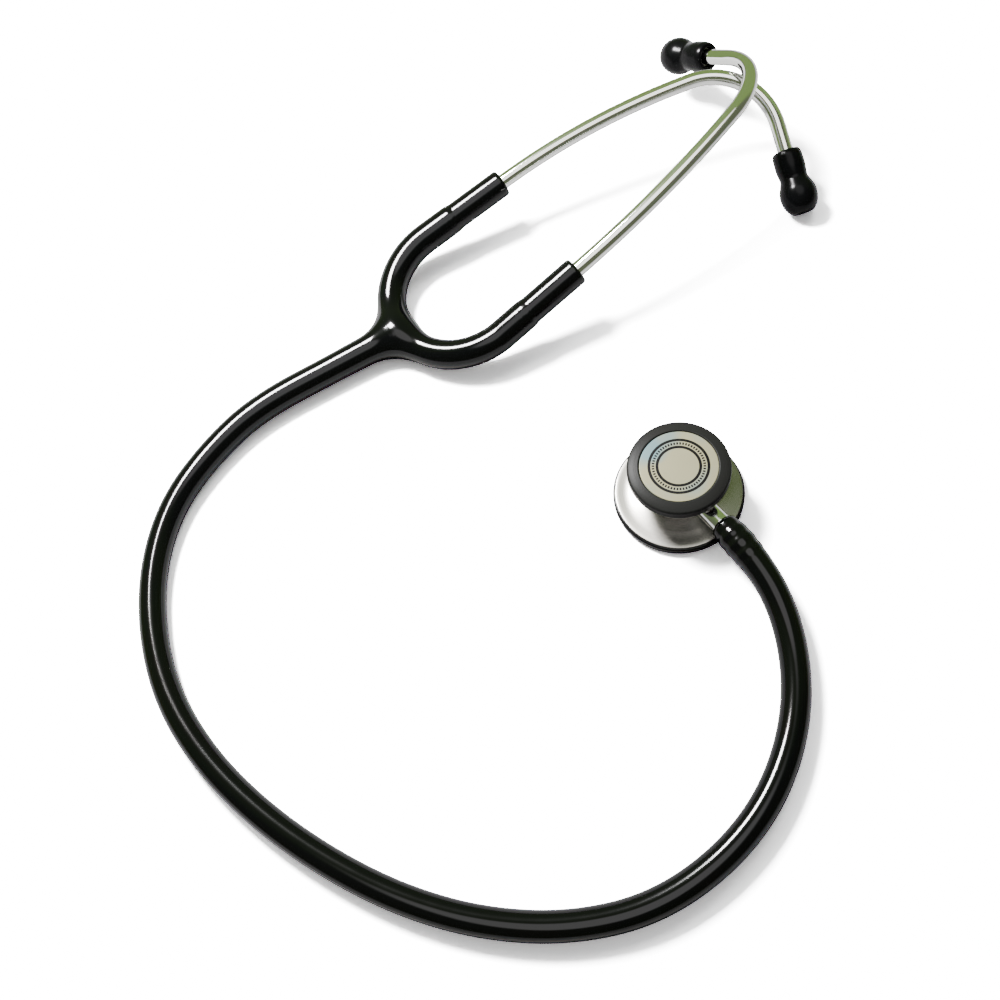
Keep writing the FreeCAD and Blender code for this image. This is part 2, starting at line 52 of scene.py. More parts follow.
# ------------------------------------------------------------------------------- sizes
MIDDLE = Vector((2.35, 50.47, 0.0))
HEAD_HEIGHT = 19.2
HEAD_PITCH = 12.0
BEND_RADIUS = 27.5
ARM_LENGTH = 37.0
TOE_IN = 1.5
RIGHT_LIFT = 4.7
TAIL_LENGTH = 43.0
TAIL_YAW = 3.4
TAIL_DROP = 0.6
TAIL_OVERLAP = 1.5
TUBE_RADIUS = 2.9
TUBE_BORE = 2.2
GENTLE_RADIUS, GENTLE_ANGLE = 283.0, 16.1
TIGHT_RADIUS, TIGHT_ANGLE = 25.4, 92.3
TUBE_END = 10.4
TUBE_INSERT = 7.0
TUBE_ROLL = 25.9
HOSE_RADIUS = 4.75
HOSE_LEAD = 17.0
# the moulded yoke: its arms, with a ridge where the sleeve over the tube begins, its bend and tail
ARM_RADIUS, ARM_SWELL, ARM_SWELL_SPAN = 5.2, 0.42, (9.5, 14.5)
RIDGE_HEIGHT, RIDGE_PLACE, RIDGE_WIDTH = 0.22, 12.5, 1.3
ARM_SPARE = 8.0
BEND_THICKNESS, BEND_SWELL, BEND_SWELL_SPAN = 5.5, 0.12, (50, 85)
TAIL_THICKNESS, TAIL_SWELL = 5.28, 0.35
TAIL_FROM, TAIL_SPARE = 4.0, 3.0
TAIL_SWELL_RISE, TAIL_SWELL_FALL = (0, 8), (8, 34)
CROTCH_FILLET = 11.0
END_ROUNDING = 1.6
END_ZONE = 20
FULL_VOXEL, QUICK_VOXEL = 0.0005, 0.0008
ARM_SPLIT_ANGLE = 48.0
# the hose's end over the stem's barbs: (distance from the end, radius), then its rounded lip
END_OUTLINE = [(0, 4.62), (3, 4.95), (5.5, 5.3), (8, 5.42), (11, 5.3), (15, 5.05), (20, 4.86),
               (25, 4.78), (30, 4.74)]
END_LIP = 1.3
END_LENGTH = 27
RIPPLE_HEIGHT, RIPPLE_PERIOD = 0.11, 4.1
RIPPLE_RISE, RIPPLE_FALL = (2.0, 4.0), (13.0, 17.0)
STEM_YAW = -83.7
STEM_HEIGHT = 10.5
STEM_REACH = 21.1
CHEST = Vector((-17.3, -111.9, 0.0))
HOSE_ROUTE = [
    (-146.0, -2.6, 4.75),
    (-167.0, -13.6, 4.75),
    (-183.0, -31.6, 4.75),
    (-193.6, -54.5, 4.75),
    (-198.6, -79.5, 4.75),
    (-196.4, -105.6, 4.75),
    (-189.2, -130.4, 4.75),
    (-178.2, -154.4, 4.75),
    (-164.4, -176.4, 4.75),
    (-147.0, -195.6, 4.75),
    (-125.6, -210.8, 4.75),
    (-101.4, -219.6, 4.75),
    (-74.8, -219.0, 4.75),
    (-51.0, -210.6, 4.75),
    (-30.4, -194.0, 4.75),
    (-17.0, -172.0, 6.2),
    (-13.1, -150.0, 10.5),
]
SIDES = {"left": (1, 0.0), "right": (-1, RIGHT_LIFT)}


# ------------------------------------------------------------------------------ frames
def turn(axis, degrees):
    return Matrix.Rotation(math.radians(degrees), 4, axis)


def shift(x=0.0, y=0.0, z=0.0):
    return Matrix.Translation((x, y, z))


Z_TO_X = turn("Y", 90)
MIDDLE_FRAME = Matrix.Translation(MIDDLE)
HEAD = MIDDLE_FRAME @ shift(z=HEAD_HEIGHT) @ turn("Y", -HEAD_PITCH)
BEND = HEAD @ shift(x=-ARM_LENGTH)
CHEST_FRAME = MIDDLE_FRAME @ Matrix.Translation(CHEST) @ turn("Z", STEM_YAW)
STEM_FRAME = CHEST_FRAME @ shift(z=STEM_HEIGHT) @ Z_TO_X


def arm_frame(word):
    side, lift = SIDES[word]
    toe = turn("Z", -side * TOE_IN)
    return BEND @ shift(y=side * BEND_RADIUS) @ toe @ turn("Y", -lift)


def tube_frame(word):
    side, _ = SIDES[word]
    roll = turn("X", side * TUBE_ROLL) @ turn("X", 90 + side * 90)
    return arm_frame(word) @ shift(x=ARM_LENGTH) @ roll


TAIL_FRAME = (
    BEND @ shift(x=-BEND_RADIUS) @ turn("Z", -TAIL_YAW)
    @ turn("Y", HEAD_PITCH - TAIL_DROP) @ turn("Y", -90)
)


# ------------------------------------------------------------------------ mesh helpers
def new_object(name, verts, faces, matrix=None):
    """A smooth mesh from points in millimetres, placed by a frame in millimetres."""
    mesh = bpy.data.meshes.new(name)
    mesh.from_pydata([tuple(float(c) * MM for c in v) for v in verts], [], faces)
    mesh.validate()
    mesh.shade_smooth()
    mesh.set_sharp_from_angle(angle=math.radians(38))
    made = bpy.data.objects.new(name, mesh)
    bpy.context.scene.collection.objects.link(made)
    if matrix is not None:
        made.matrix_world = in_metres(matrix)
    return made


def settle(made):
    """Puts an object's placement into its vertices, for a piece that lies at a slant."""
    made.data.transform(made.matrix_world)
    made.matrix_world = Matrix.Identity(4)
    return made


def in_metres(matrix):
    scaled = matrix.copy()
    scaled.translation = matrix.translation * MM
    return scaled


def skin(rings, closed_start=False, closed_end=False):
    """Quads between rings of equal size, with a fan at either end if asked."""
    sides = len(rings[0])
    verts = [point for ring in rings for point in ring]
    faces = []
    for row in range(len(rings) - 1):
        low, high = row * sides, (row + 1) * sides
        for k in range(sides):
            after = (k + 1) % sides
            faces.append((low + k, low + after, high + after, high + k))
    if closed_start:
        verts.append(np.mean(rings[0], axis=0))
        faces += [(len(verts) - 1, (k + 1) % sides, k) for k in range(sides)]
    if closed_end:
        start = (len(rings) - 1) * sides
        verts.append(np.mean(rings[-1], axis=0))
        faces += [(len(verts) - 1, start + k, start + (k + 1) % sides) for k in range(sides)]
    return verts, faces


def rounded(profile, segments=7):
    """A (radius, height, fillet) outline with each corner rounded by its fillet."""
    points = []
    last = len(profile) - 1
    for number, (r, z, fillet) in enumerate(profile):
        here = np.array((r, z), float)
        if fillet <= 0 or number in (0, last):
            points.append(here)
            continue
        back = np.array(profile[number - 1][:2], float) - here
        ahead = np.array(profile[number + 1][:2], float) - here
        reach = min(fillet, 0.48 * np.linalg.norm(back), 0.48 * np.linalg.norm(ahead))
        start = here + back / np.linalg.norm(back) * reach
        end = here + ahead / np.linalg.norm(ahead) * reach
        for step in range(segments + 1):
            share = step / segments
            points.append((1 - share) ** 2 * start + 2 * share * (1 - share) * here
                          + share ** 2 * end)
    return points


def lathe(name, profile, matrix, sides=160):
    """Turns an outline of (radius, height, fillet) about Z. Ends on the axis close."""
    points = rounded(profile)
    angles = np.linspace(0, 2 * math.pi, sides, endpoint=False)
    unit = np.stack([np.cos(angles), np.sin(angles)], axis=1)
    rings = [np.column_stack([unit * max(r, 1e-4), np.full(sides, z)]) for r, z in points]
    verts, faces = skin(rings)
    return new_object(name, verts, faces, matrix)


def sweep(name, centres, radii, sides=64, closed_start=False, closed_end=False):
    """A round tube of changing radius along a smooth line of points."""
    centres = np.asarray(centres, float)
    tangents = np.gradient(centres, axis=0)
    tangents /= np.linalg.norm(tangents, axis=1)[:, None]
    normal = np.cross(tangents[0], (0.0, 0.0, 1.0))
    normal /= np.linalg.norm(normal)
    angles = np.linspace(0, 2 * math.pi, sides, endpoint=False)
    rings = []
    for centre, tangent, radius in zip(centres, tangents, radii):
        normal = normal - tangent * np.dot(normal, tangent)
        normal /= np.linalg.norm(normal)
        other = np.cross(tangent, normal)
        rings.append(centre + radius * (np.outer(np.cos(angles), normal)
                                        + np.outer(np.sin(angles), other)))
    verts, faces = skin(rings, closed_start, closed_end)
    return new_object(name, verts, faces)


def smoothstep(low, high, value):
    """From 0 at low to 1 at high, level at both."""
    share = np.clip((np.asarray(value, float) - low) / (high - low), 0, 1)
    return share * share * (3 - 2 * share)


# --------------------------------------------------------------------------- materials
def material(name, base, roughness, metallic=0.0, variation=0.0, scale=120.0,
             bump=0.0, bump_scale=900.0, specular=0.5, anisotropic=0.0):
    """A principled surface whose roughness varies a little and whose face is finely uneven."""
    made = bpy.data.materials.new(name)
    made.use_nodes = True
    nodes, links = made.node_tree.nodes, made.node_tree.links
    shader = nodes["Principled BSDF"]
    shader.inputs["Base Color"].default_value = (*base, 1.0)
    shader.inputs["Metallic"].default_value = metallic
    shader.inputs["Roughness"].default_value = roughness
    shader.inputs["Specular IOR Level"].default_value = specular
    where = nodes.new("ShaderNodeTexCoord")
    if variation > 0:
        noise = nodes.new("ShaderNodeTexNoise")
        noise.inputs["Scale"].default_value = scale
        noise.inputs["Detail"].default_value = 4.0
        links.new(where.outputs["Object"], noise.inputs["Vector"])
        spread = nodes.new("ShaderNodeMapRange")
        spread.inputs["To Min"].default_value = roughness - variation
        spread.inputs["To Max"].default_value = roughness + variation
        links.new(noise.outputs["Fac"], spread.inputs["Value"])
        links.new(spread.outputs["Result"], shader.inputs["Roughness"])
    if bump > 0:
        grain = nodes.new("ShaderNodeTexNoise")
        grain.inputs["Scale"].default_value = bump_scale
        grain.inputs["Detail"].default_value = 3.0
        links.new(where.outputs["Object"], grain.inputs["Vector"])
        raise_up = nodes.new("ShaderNodeBump")
        raise_up.inputs["Strength"].default_value = bump
        raise_up.inputs["Distance"].default_value = 0.0002
        links.new(grain.outputs["Fac"], raise_up.inputs["Height"])
        links.new(raise_up.outputs["Normal"], shader.inputs["Normal"])
    if anisotropic > 0:
        shader.inputs["Anisotropic"].default_value = anisotropic
        tangent = nodes.new("ShaderNodeTangent")
        tangent.direction_type = "RADIAL"
        tangent.axis = "Z"
        links.new(tangent.outputs["Tangent"], shader.inputs["Tangent"])
    return made


def add_turning_marks(made, low, high):
    """Fine circular tool marks about the piece's own axis, as a roughness from low to high."""
    nodes, links = made.node_tree.nodes, made.node_tree.links
    shader = nodes["Principled BSDF"]
    where = nodes.new("ShaderNodeTexCoord")
    parts = nodes.new("ShaderNodeSeparateXYZ")
    links.new(where.outputs["Object"], parts.inputs["Vector"])
    flat = nodes.new("ShaderNodeCombineXYZ")
    links.new(parts.outputs["X"], flat.inputs["X"])
    links.new(parts.outputs["Y"], flat.inputs["Y"])
    radius = nodes.new("ShaderNodeVectorMath")
    radius.operation = "LENGTH"
    links.new(flat.outputs["Vector"], radius.inputs[0])
    along = nodes.new("ShaderNodeCombineXYZ")
    links.new(radius.outputs["Value"], along.inputs["X"])
    links.new(parts.outputs["Z"], along.inputs["Z"])
    lines = nodes.new("ShaderNodeTexNoise")
    lines.inputs["Scale"].default_value = 1600.0
    lines.inputs["Detail"].default_value = 2.0
    links.new(along.outputs["Vector"], lines.inputs["Vector"])
    spread = nodes.new("ShaderNodeMapRange")
    spread.inputs["To Min"].default_value = low
    spread.inputs["To Max"].default_value = high
    links.new(lines.outputs["Fac"], spread.inputs["Value"])
    links.new(spread.outputs["Result"], shader.inputs["Roughness"])


def add_printed_rings(made, warm, cool, ink, bands, ticks):
    """Black rings and a ring of short marks, on a film with a painted sheen: a painted reflection
    whose colour runs from warm to cool.
    """
    nodes, links = made.node_tree.nodes, made.node_tree.links
    shader = nodes["Principled BSDF"]

    def value(operation, first, second=None):
        node = nodes.new("ShaderNodeMath")
        node.operation = operation
        for socket, source in zip(node.inputs, (first, second)):
            if source is None:
                continue
            if isinstance(source, (int, float)):
                socket.default_value = source
            else:
                links.new(source, socket)
        return node.outputs["Value"]

    where = nodes.new("ShaderNodeTexCoord")
    parts = nodes.new("ShaderNodeSeparateXYZ")
    links.new(where.outputs["Object"], parts.inputs["Vector"])
    x, y = parts.outputs["X"], parts.outputs["Y"]
    radius = value("SQRT", value("ADD", value("MULTIPLY", x, x), value("MULTIPLY", y, y)))

    def band(low, high):
        return value("MULTIPLY", value("GREATER_THAN", radius, low * MM),
                     value("LESS_THAN", radius, high * MM))

    printed = band(*bands[0])
    for low, high in bands[1:]:
        printed = value("MAXIMUM", printed, band(low, high))
    low, high, count, share = ticks
    around = value("MULTIPLY", value("ARCTAN2", y, x), count / (2 * math.pi))
    dash = value("LESS_THAN", value("FRACT", around), share)
    printed = value("MAXIMUM", printed, value("MULTIPLY", dash, band(low, high)))
    # painted sheen: a painted reflection drawn into the film's base colour, drifting from warm to
    # cool
    painted_sheen = nodes.new("ShaderNodeTexNoise")
    painted_sheen.inputs["Scale"].default_value = 70.0
    painted_sheen.inputs["Detail"].default_value = 1.0
    links.new(where.outputs["Object"], painted_sheen.inputs["Vector"])
    tint = nodes.new("ShaderNodeMix")
    tint.data_type = "RGBA"
    tint.inputs[6].default_value = (*warm, 1.0)
    tint.inputs[7].default_value = (*cool, 1.0)
    tone = nodes.new("ShaderNodeMapRange")
    tone.inputs["From Min"].default_value = 0.40
    tone.inputs["From Max"].default_value = 0.60
    links.new(painted_sheen.outputs["Fac"], tone.inputs["Value"])
    links.new(tone.outputs["Result"], tint.inputs[0])
    mix = nodes.new("ShaderNodeMix")
    mix.data_type = "RGBA"
    mix.inputs[7].default_value = (*ink, 1.0)
    links.new(tint.outputs[2], mix.inputs[6])
    links.new(printed, mix.inputs[0])
    links.new(mix.outputs[2], shader.inputs["Base Color"])
    shine = nodes.new("ShaderNodeMapRange")
    shine.inputs["To Min"].default_value = shader.inputs["Metallic"].default_value
    shine.inputs["To Max"].default_value = 0.0
    links.new(printed, shine.inputs["Value"])
    links.new(shine.outputs["Result"], shader.inputs["Metallic"])


PVC = material("black PVC", (0.0005, 0.0005, 0.0006), 0.11, variation=0.02, specular=0.18)
RUBBER = material("eartip rubber", (0.0009, 0.0009, 0.0010), 0.22, variation=0.03, bump=0.02,
                  specular=0.06)
TUBE_STEEL = material("polished tube steel", (0.62, 0.62, 0.60), 0.09, metallic=1.0,
                      variation=0.01, scale=60.0)
STEM_STEEL = material("polished stem steel", (0.55, 0.56, 0.55), 0.12, metallic=1.0,
                      variation=0.01, scale=60.0)
TURNED = material("turned steel", (0.21, 0.200, 0.184), 0.27, metallic=1.0, anisotropic=0.5)
add_turning_marks(TURNED, 0.24, 0.27)
SPRING = material("spring steel", (0.35, 0.36, 0.38), 0.3, metallic=1.0, variation=0.05)
RIM = material("matte rim", (0.0045, 0.0046, 0.0042), 0.38, variation=0.04, bump=0.12,
               bump_scale=2600.0, specular=0.03)
BLACK_RIM = material("black rim", (0.0018, 0.0018, 0.0019), 0.2, variation=0.04, specular=0.1)
FILM = material("clear film", (0.60, 0.61, 0.60), 0.35, variation=0.05)
SILVER = material("silver film", (0.16, 0.17, 0.16), 0.35, metallic=0.25, variation=0.04,
                  specular=0.05)
# the warm and cool colours are the silver film's painted sheen, a painted reflection
add_printed_rings(SILVER, (0.110, 0.104, 0.064), (0.058, 0.088, 0.092), (0.001, 0.001, 0.001),
                  bands=[(6.6, 7.55), (9.25, 10.2)], ticks=(7.95, 8.85, 54, 0.6))


def finish_piece(made, surface, body, slot, *nodes):
    """Material, body and the CAD nodes that a piece stands for. The slot argument is not used."""
    made.data.materials.clear()
    made.data.materials.append(surface)
    if body is not None:
        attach(made, body)
    if nodes:
        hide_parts(*nodes)
    return made


# -------------------------------------------------------------------------- yoke's skin
def yoke_line():
    """Centre line of the U and both arms in the bend's frame, with a radius at each point."""
    inverse = BEND.inverted()
    points, radii = [], []
    for word in ("left", "right"):
        place = inverse @ arm_frame(word)
        along = np.arange(0.0, ARM_LENGTH + ARM_SPARE, 0.4)
        arm = np.array([place @ Vector((u, 0, 0)) for u in along])
        thick = ARM_RADIUS + ARM_SWELL * (1 - smoothstep(*ARM_SWELL_SPAN, along))
        thick += RIDGE_HEIGHT * np.exp(-((along - RIDGE_PLACE) / RIDGE_WIDTH) ** 2)
        if word == "left":
            arm, thick = arm[::-1], thick[::-1]
            points.append(arm)
            radii.append(thick)
            angles = np.linspace(90, -90, 201)[1:-1]
            arc = np.array([(-BEND_RADIUS * math.cos(math.radians(a)),
                             BEND_RADIUS * math.sin(math.radians(a)), 0.0) for a in angles])
            points.append(arc)
            swell = BEND_SWELL * smoothstep(*BEND_SWELL_SPAN, np.abs(angles))
            radii.append(BEND_THICKNESS + swell)
        else:
            points.append(arm)
            radii.append(thick)
    line, thick = np.concatenate(points), np.concatenate(radii)
    kernel = np.exp(-np.linspace(-2, 2, 17) ** 2)
    kernel /= kernel.sum()
    padded = np.pad(line, ((8, 8), (0, 0)), mode="reflect", reflect_type="odd")
    line = np.stack([np.convolve(padded[:, k], kernel, "valid") for k in range(3)], axis=1)
    return line, thick


def tail_line():
    """Centre line of the tail in the bend's frame, with a radius at each point."""
    place = BEND.inverted() @ TAIL_FRAME
    along = np.arange(TAIL_FROM, TAIL_LENGTH + TAIL_OVERLAP + TAIL_SPARE + 0.01, 0.5)
    line = np.array([place @ Vector((0, 0, u)) for u in along])
    swell = (1 - smoothstep(*TAIL_SWELL_FALL, along)) * smoothstep(*TAIL_SWELL_RISE, along)
    return line, TAIL_THICKNESS + TAIL_SWELL * swell


def nearest(points, line, thick):
    """Distance from each point to a round tube's surface."""
    best = np.full(len(points), 1e9)
    ends = line[1:] - line[:-1]
    lengths = (ends ** 2).sum(axis=1)
    for start in range(0, len(points), 4000):
        block = points[start:start + 4000, None, :] - line[None, :-1, :]
        share = np.clip((block * ends).sum(axis=2) / lengths, 0, 1)
        gap = np.sqrt(((block - share[..., None] * ends) ** 2).sum(axis=2))
        radius = thick[:-1] * (1 - share) + thick[1:] * share
        best[start:start + 4000] = (gap - radius).min(axis=1)
    return best


def smooth_min(a, b, width):
    """The smaller of two distances, with a fillet of the given width where they meet."""
    overlap = np.maximum(width - np.abs(a - b), 0) / width
    return np.minimum(a, b) - overlap ** 2 * width / 4


U_LINE, U_THICK = yoke_line()
T_LINE, T_THICK = tail_line()
ARM_ENDS = []
for side_word in SIDES:
    local = BEND.inverted() @ arm_frame(side_word)
    ARM_ENDS.append((np.array(local @ Vector((ARM_LENGTH, 0, 0))),
                     np.array(local.to_3x3() @ Vector((1, 0, 0)))))
TAIL_END = np.array(BEND.inverted() @ TAIL_FRAME @ Vector((0, 0, TAIL_LENGTH + TAIL_OVERLAP)))
TAIL_WAY = np.array((BEND.inverted() @ TAIL_FRAME).to_3x3() @ Vector((0, 0, 1)))


def yoke_distance(points):
    """Signed distance to the moulded yoke: U and tail filleted together, ends cut square."""
    body = smooth_min(nearest(points, U_LINE, U_THICK), nearest(points, T_LINE, T_THICK),
                      CROTCH_FILLET)
    for end, way in ARM_ENDS:
        beyond = (points - end) @ way
        near = np.linalg.norm(points - end, axis=1) < END_ZONE
        body = np.where(near, -smooth_min(-body, -beyond, END_ROUNDING), body)
    beyond = (points - TAIL_END) @ TAIL_WAY
    return np.maximum(body, beyond)


def make_yoke():
    """The yoke's skin in three pieces, fitted to yoke_distance from a coarse solid."""
    rough = sweep("yoke_rough", U_LINE[5:-5], U_THICK[5:-5], 32, True, True)
    tail = sweep("tail_rough", T_LINE, T_THICK, 32, True, True)
    merge = bpy.data.meshes.new("yoke_volume")
    parts = []
    base = 0
    faces = []
    for piece in (rough, tail):
        parts.append(np.array([v.co for v in piece.data.vertices]))
        faces += [tuple(base + k for k in p.vertices) for p in piece.data.polygons]
        base += len(piece.data.vertices)
        bpy.data.objects.remove(piece)
    merge.from_pydata(np.concatenate(parts).tolist(), [], faces)
    volume = bpy.data.objects.new("yoke_volume", merge)
    bpy.context.scene.collection.objects.link(volume)
    remesh = volume.modifiers.new("remesh", "REMESH")
    remesh.mode = "VOXEL"
    remesh.voxel_size = FULL_VOXEL
    graph = bpy.context.evaluated_depsgraph_get()
    solid = volume.evaluated_get(graph).to_mesh()
    verts = np.array([v.co for v in solid.vertices]) / MM
    quads = [tuple(p.vertices) for p in solid.polygons]
    bpy.data.objects.remove(volume)

    def slope(points):
        step = 0.02
        grad = np.stack([yoke_distance(points + off) - yoke_distance(points - off)
                         for off in np.eye(3) * step], axis=1)
        return grad / np.maximum(np.linalg.norm(grad, axis=1), 1e-9)[:, None]

    for _ in range(3):
        verts = verts - yoke_distance(verts)[:, None] * slope(verts)
    normals = slope(verts)
    centres = np.array([verts[list(q)].mean(axis=0) for q in quads])
    angle = np.degrees(np.arctan2(centres[:, 1], -centres[:, 0]))
    groups = {"yoke_crotch_skin": np.abs(angle) <= ARM_SPLIT_ANGLE,
              "left_arm_skin": angle > ARM_SPLIT_ANGLE,
              "right_arm_skin": angle < -ARM_SPLIT_ANGLE}
    made = {}
    for name, mask in groups.items():
        chosen = [quads[k] for k in np.flatnonzero(mask)]
        used = sorted({k for q in chosen for k in q})
        index = {old: new for new, old in enumerate(used)}
        piece = new_object(name, verts[used], [tuple(index[k] for k in q) for q in chosen], BEND)
        piece.data.normals_split_custom_set_from_vertices([tuple(normals[k]) for k in used])
        made[name] = piece
    return made


yoke = make_yoke()
finish_piece(settle(yoke["yoke_crotch_skin"]), PVC, "hose_and_yoke", "black_pvc", "yoke_crotch")
for word, (side, _) in SIDES.items():
    arm_skin = yoke[f"{word}_arm_skin"]
    finish_piece(arm_skin, PVC, None, "black_pvc", f"{word}_yoke_arm")
    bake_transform(arm_skin)


# ------------------------------------------------------------------ ear tubes, eartips
def tube_line(start, stop):
    """The ear tube's centre line in its own plane, from start to stop past the bends."""
    points = [(x, 0.0, 0.0) for x in np.linspace(start, 0, 12, endpoint=False)]
    here, heading = np.array((0.0, 0.0)), 0.0
    for radius, angle, steps in ((GENTLE_RADIUS, GENTLE_ANGLE, 70),
                                 (TIGHT_RADIUS, TIGHT_ANGLE, 72)):
        centre = here + radius * np.array((-math.sin(heading), math.cos(heading)))
        for step in range(steps):
            at_angle = heading + math.radians(angle) * step / steps
            spot = centre + radius * np.array((math.sin(at_angle), -math.cos(at_angle)))
            points.append((*spot, 0.0))
        heading += math.radians(angle)
        here = centre + radius * np.array((math.sin(heading), -math.cos(heading)))
    way = np.array((math.cos(heading), math.sin(heading)))
    for u in np.linspace(0, stop, 14):
        points.append((*(here + way * u), 0.0))
    return np.array(points), here, way, heading


def tip_frame(word):
    _, here, way, heading = tube_line(-3.0, TUBE_END)
    base = here + way * TUBE_END
    return tube_frame(word) @ shift(base[0], base[1]) @ turn("Z", math.degrees(heading)) @ Z_TO_X


for word in SIDES:
    line, _, _, _ = tube_line(-6.0, TUBE_END + TUBE_INSERT - 0.35)
    place = tube_frame(word)
    way = line[-1] - line[-2]
    way /= np.linalg.norm(way)
    tail_points, tail_radii = [], []
    for turn_share in np.linspace(0, 1, 7)[1:]:
        angle = turn_share * math.pi
        tail_points.append(line[-1] + way * 0.35 * math.sin(angle))
        tail_radii.append(TUBE_RADIUS - 0.35 * (1 - math.cos(angle)))
    inner_points = [line[-1] - way * depth for depth in (0.5, 2.0, 5.0)]
    full = np.concatenate([line, tail_points, inner_points])
    radii = [TUBE_RADIUS] * len(line) + tail_radii + [TUBE_BORE] * 3
    angles = np.linspace(0, 2 * math.pi, 64, endpoint=False)
    flow = np.gradient(line, axis=0)
    flow /= np.linalg.norm(flow, axis=1)[:, None]
    flow = np.concatenate([flow, np.repeat(flow[-1:], len(full) - len(line), axis=0)])
    across = np.stack([-flow[:, 1], flow[:, 0], np.zeros(len(flow))], axis=1)
    rings = [c + r * (np.outer(np.cos(angles), n) + np.outer(np.sin(angles), (0, 0, 1)))
             for c, r, n in zip(full, radii, across)]
    verts, faces = skin(rings, closed_start=True, closed_end=True)
    ear_tube = new_object(f"{word}_tube_skin", verts, faces, place)
    finish_piece(settle(ear_tube), TUBE_STEEL, f"{word}_tube", "polished_steel", f"{word}_ear_tube")

    ferrule = lathe(f"{word}_ferrule_skin", [
        (2.9, 1.5, 0), (3.4, 1.5, 0.15), (3.4, 4.0, 0.15), (3.2, 4.3, 0.15), (3.2, 4.9, 0.15),
        (3.4, 5.2, 0.15), (3.4, 8.1, 0.4), (3.2, 9.3, 0.1), (2.9, 9.3, 0),
    ], tip_frame(word), 96)
    finish_piece(ferrule, TURNED, f"{word}_tube", "turned_steel", f"{word}_ferrule")

    eartip = lathe(f"{word}_eartip_skin", [
        (3.6, 1.0, 0), (3.6, 0.0, 0.3), (4.9, 0.0, 1.0), (5.55, 1.6, 1.2), (5.7, 6.0, 2.0),
        (5.35, 9.0, 2.0), (5.1, 10.6, 1.6), (5.9, 12.6, 2.0), (6.75, 14.6, 2.0),
        (7.05, 17.0, 2.4), (6.7, 19.6, 2.4), (5.7, 22.0, 2.4), (4.0, 23.8, 1.6),
        (2.4, 24.0, 0.6), (1.6, 23.6, 0.5), (1.6, 9.5, 0), (3.6, 9.5, 0), (3.6, 1.0, 0),
    ], tip_frame(word), 128)
    finish_piece(settle(eartip), RUBBER, f"{word}_tip", "black_rubber", f"{word}_eartip")


# ------------------------------------------------------------------------------- hose
def hose_points():
    points = [TAIL_FRAME @ Vector((0, 0, TAIL_LENGTH)),
              TAIL_FRAME @ Vector((0, 0, TAIL_LENGTH + HOSE_LEAD))]
    points += [MIDDLE + Vector(point) for point in HOSE_ROUTE]
    points.append(STEM_FRAME @ Vector((0, 0, STEM_REACH)))
    return points


def spline_point(points, place):
    """A point on the open spline of order 3, with place running from 0 to 1."""
    count = len(points)
    degree = 2
    knots = [0.0] * degree + list(np.linspace(0, 1, count - degree + 1)) + [1.0] * degree
    span = min(max(np.searchsorted(knots, place, side="right") - 1, degree), count - 1)
    work = [np.array(points[span - degree + k]) for k in range(degree + 1)]
    for level in range(1, degree + 1):
        for k in range(degree, level - 1, -1):
            low = knots[span - degree + k]
            high = knots[span + 1 + k - level]
            share = (place - low) / (high - low)
            work[k] = work[k - 1] * (1 - share) + work[k] * share
    return work[degree]


ROUTE = hose_points()
hose_curve = bpy.data.curves.new("hose_skin", "CURVE")
hose_curve.dimensions = "3D"
spline = hose_curve.splines.new("NURBS")
spline.points.add(len(ROUTE) - 1)
HOSE_SWELL = {0: 1.115, 1: 1.10, 2: 1.06, 3: 1.03, len(ROUTE) - 1: 0.84}
for number, point in enumerate(ROUTE):
    spline.points[number].co = (*(point * MM), 1.0)
    spline.points[number].radius = HOSE_SWELL.get(number, 1.0)
spline.order_u = 3
spline.use_endpoint_u = True
spline.resolution_u = 24
hose_curve.bevel_depth = HOSE_RADIUS * MM
hose_curve.bevel_resolution = 14
hose_curve.use_fill_caps = True
hose = bpy.data.objects.new("hose_skin", hose_curve)
bpy.context.scene.collection.objects.link(hose)
finish_piece(hose, PVC, "hose_and_yoke", "black_pvc", "hose")


def make_hose_end():
    """The last stretch of the hose, stretched over the stem's barbs, with a rounded end."""
    places = np.linspace(1.0, 0.93, 240)
    line = np.array([spline_point(ROUTE, min(p, 1 - 1e-9)) for p in places])
    travel = np.concatenate([[0], np.cumsum(np.linalg.norm(np.diff(line, axis=0), axis=1))])
    radii = np.interp(travel, *zip(*END_OUTLINE))
    kernel = np.ones(15) / 15
    radii = np.convolve(np.pad(radii, 7, mode="edge"), kernel, "valid")
    ripple = smoothstep(*RIPPLE_RISE, travel) * (1 - smoothstep(*RIPPLE_FALL, travel))
    radii += RIPPLE_HEIGHT * ripple * np.sin(2 * math.pi * travel / RIPPLE_PERIOD)
    corner = np.clip(END_LIP - travel, 0, END_LIP)
    radii = radii - END_LIP + np.sqrt(np.maximum(END_LIP ** 2 - corner ** 2, 0))
    keep = travel < END_LENGTH
    return sweep("hose_end_skin", line[keep], radii[keep], 96, closed_start=True)


hose_end = make_hose_end()
finish_piece(hose_end, PVC, "hose_and_yoke", "black_pvc")


# ------------------------------------------------------------------ stem and chestpiece
stem = lathe("stem_skin", [
    (1.4, -5.0, 0), (2.5, -5.0, 0.2), (2.5, -3.6, 0), (2.0, -3.6, 0), (2.0, -3.0, 0),
    (2.5, -3.0, 0), (2.5, 8.4, 0), (3.5, 8.4, 0.25), (3.5, 11.2, 0.15), (3.35, 11.4, 0.1),
    (3.35, 11.9, 0.1), (3.5, 12.1, 0.15), (3.5, 20.9, 0.3), (2.7, 21.1, 0), (2.7, 25.3, 0),
    (3.1, 25.3, 0.1), (2.7, 29.5, 0), (3.1, 29.5, 0.1), (2.7, 35.1, 0), (1.4, 35.1, 0),
], STEM_FRAME, 96)
finish_piece(stem, STEM_STEEL, "hose_and_yoke", "polished_steel", "stem")

